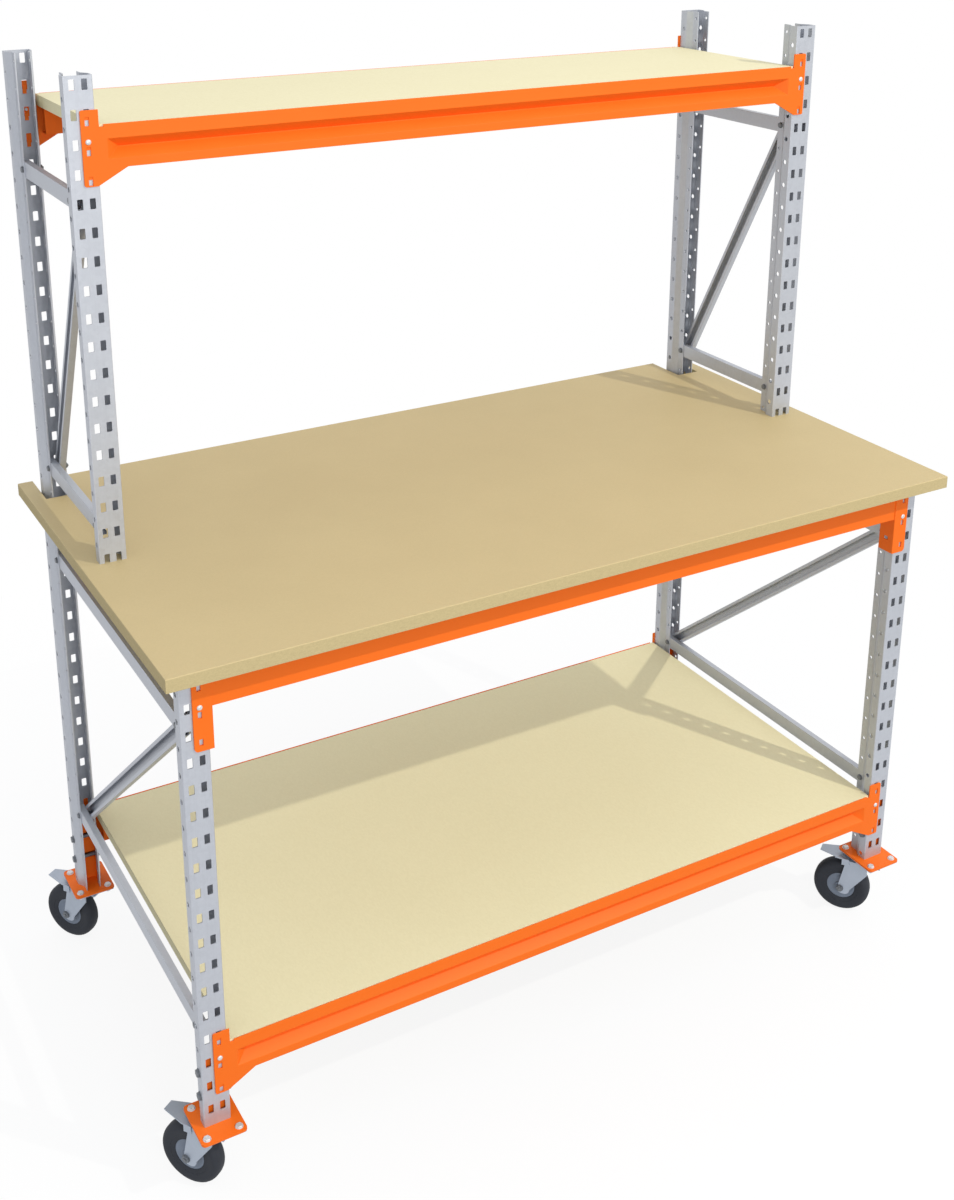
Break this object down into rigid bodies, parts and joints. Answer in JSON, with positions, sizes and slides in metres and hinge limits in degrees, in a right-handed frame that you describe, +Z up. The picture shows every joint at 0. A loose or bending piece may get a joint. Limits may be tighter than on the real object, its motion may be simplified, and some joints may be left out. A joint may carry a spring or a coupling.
{
  "type": "mobile workbench",
  "caption": "Wheeled workbench with slotted steel uprights, a deep worktop, a full lower shelf and a half-depth upper shelf on hook-in beams, on braked swivel casters.",
  "frame": {"origin": "middle of the floor area that the bench covers with its casters trailing as pictured, on the floor", "axes": "+X to the right along the bench, +Y to the back, +Z up"},
  "size_m": [1.6906, 0.9352, 1.9565],
  "materials": {
    "galvanised_steel": "zinc-coated strip, satin",
    "orange_paint": "orange powder coat, semi-gloss",
    "worktop_board": "plain beige faced board, matt",
    "shelf_board": "plain pale board, matt",
    "zinc_fasteners": "bright zinc plate",
    "caster_steel": "grey zinc-coated pressing",
    "wheel_core_grey": "grey moulded core",
    "black_rubber": "dark rubber, matt"
  },
  "bodies": {
    "frame": {"rear_upright_left": "galvanised_steel", "rear_upright_right": "galvanised_steel", "lower_front_upright_left": "galvanised_steel", "lower_front_upright_right": "galvanised_steel", "upper_front_upright_left": "galvanised_steel", "upper_front_upright_right": "galvanised_steel", "lower_left_top_rail": "galvanised_steel", "lower_left_bottom_rail": "galvanised_steel", "lower_left_diagonal": "galvanised_steel", "lower_right_top_rail": "galvanised_steel", "lower_right_bottom_rail": "galvanised_steel", "lower_right_diagonal": "galvanised_steel", "upper_left_top_rail": "galvanised_steel", "upper_left_bottom_rail": "galvanised_steel", "upper_left_diagonal": "galvanised_steel", "upper_right_top_rail": "galvanised_steel", "upper_right_bottom_rail": "galvanised_steel", "upper_right_diagonal": "galvanised_steel", "lower_shelf_beam_front": "orange_paint", "lower_shelf_beam_rear": "orange_paint", "upper_shelf_beam_front": "orange_paint", "upper_shelf_beam_rear": "orange_paint", "worktop_beam_front": "orange_paint", "worktop_beam_rear": "orange_paint", "caster_foot_front_left": "orange_paint", "caster_foot_front_right": "orange_paint", "caster_foot_rear_left": "orange_paint", "caster_foot_rear_right": "orange_paint", "worktop": "worktop_board", "lower_shelf": "shelf_board", "upper_shelf": "shelf_board", "frame_bolts": "zinc_fasteners", "caster_plate_bolts": "zinc_fasteners", "beam_lock_pins": "zinc_fasteners", "caster_top_plates": "caster_steel"},
    "fork_front_left": {"fork_front_left": "caster_steel", "axle_front_left": "zinc_fasteners"},
    "wheel_front_left": {"wheel_core_front_left": "wheel_core_grey", "tyre_front_left": "black_rubber"},
    "pedal_front_left": {"brake_pedal_front_left": "caster_steel"},
    "fork_front_right": {"fork_front_right": "caster_steel", "axle_front_right": "zinc_fasteners"},
    "wheel_front_right": {"wheel_core_front_right": "wheel_core_grey", "tyre_front_right": "black_rubber"},
    "pedal_front_right": {"brake_pedal_front_right": "caster_steel"},
    "fork_rear_left": {"fork_rear_left": "caster_steel", "axle_rear_left": "zinc_fasteners"},
    "wheel_rear_left": {"wheel_core_rear_left": "wheel_core_grey", "tyre_rear_left": "black_rubber"},
    "pedal_rear_left": {"brake_pedal_rear_left": "caster_steel"},
    "fork_rear_right": {"fork_rear_right": "caster_steel", "axle_rear_right": "zinc_fasteners"},
    "wheel_rear_right": {"wheel_core_rear_right": "wheel_core_grey", "tyre_rear_right": "black_rubber"},
    "pedal_rear_right": {"brake_pedal_rear_right": "caster_steel"}
  },
  "joints": [
    {"name": "swivel_front_left", "type": "hinge", "parent": "frame", "child": "fork_front_left", "pos_m": [-0.7707, -0.40355, 0.138], "axis": [0, 0, 1], "continuous": true},
    {"name": "wheel_front_left", "type": "hinge", "parent": "fork_front_left", "child": "wheel_front_left", "pos_m": [-0.80038, -0.36085, 0.0625], "axis": [-0.8211, -0.5707, 0], "continuous": true},
    {"name": "brake_front_left", "type": "hinge", "parent": "fork_front_left", "child": "pedal_front_left", "pos_m": [-0.79239, -0.37235, 0.13], "axis": [-0.8211, -0.5707, 0], "range_deg": [0, 13]},
    {"name": "swivel_front_right", "type": "hinge", "parent": "frame", "child": "fork_front_right", "pos_m": [0.7863, -0.40355, 0.138], "axis": [0, 0, 1], "continuous": true},
    {"name": "wheel_front_right", "type": "hinge", "parent": "fork_front_right", "child": "wheel_front_right", "pos_m": [0.75662, -0.36085, 0.0625], "axis": [-0.8211, -0.5707, 0], "continuous": true},
    {"name": "brake_front_right", "type": "hinge", "parent": "fork_front_right", "child": "pedal_front_right", "pos_m": [0.76461, -0.37235, 0.13], "axis": [-0.8211, -0.5707, 0], "range_deg": [0, 13]},
    {"name": "swivel_rear_left", "type": "hinge", "parent": "frame", "child": "fork_rear_left", "pos_m": [-0.7707, 0.36845, 0.138], "axis": [0, 0, 1], "continuous": true},
    {"name": "wheel_rear_left", "type": "hinge", "parent": "fork_rear_left", "child": "wheel_rear_left", "pos_m": [-0.80038, 0.41115, 0.0625], "axis": [-0.8211, -0.5707, 0], "continuous": true},
    {"name": "brake_rear_left", "type": "hinge", "parent": "fork_rear_left", "child": "pedal_rear_left", "pos_m": [-0.79239, 0.39965, 0.13], "axis": [-0.8211, -0.5707, 0], "range_deg": [0, 13]},
    {"name": "swivel_rear_right", "type": "hinge", "parent": "frame", "child": "fork_rear_right", "pos_m": [0.7863, 0.36845, 0.138], "axis": [0, 0, 1], "continuous": true},
    {"name": "wheel_rear_right", "type": "hinge", "parent": "fork_rear_right", "child": "wheel_rear_right", "pos_m": [0.75662, 0.41115, 0.0625], "axis": [-0.8211, -0.5707, 0], "continuous": true},
    {"name": "brake_rear_right", "type": "hinge", "parent": "fork_rear_right", "child": "pedal_rear_right", "pos_m": [0.76461, 0.39965, 0.13], "axis": [-0.8211, -0.5707, 0], "range_deg": [0, 13]}
  ]
}
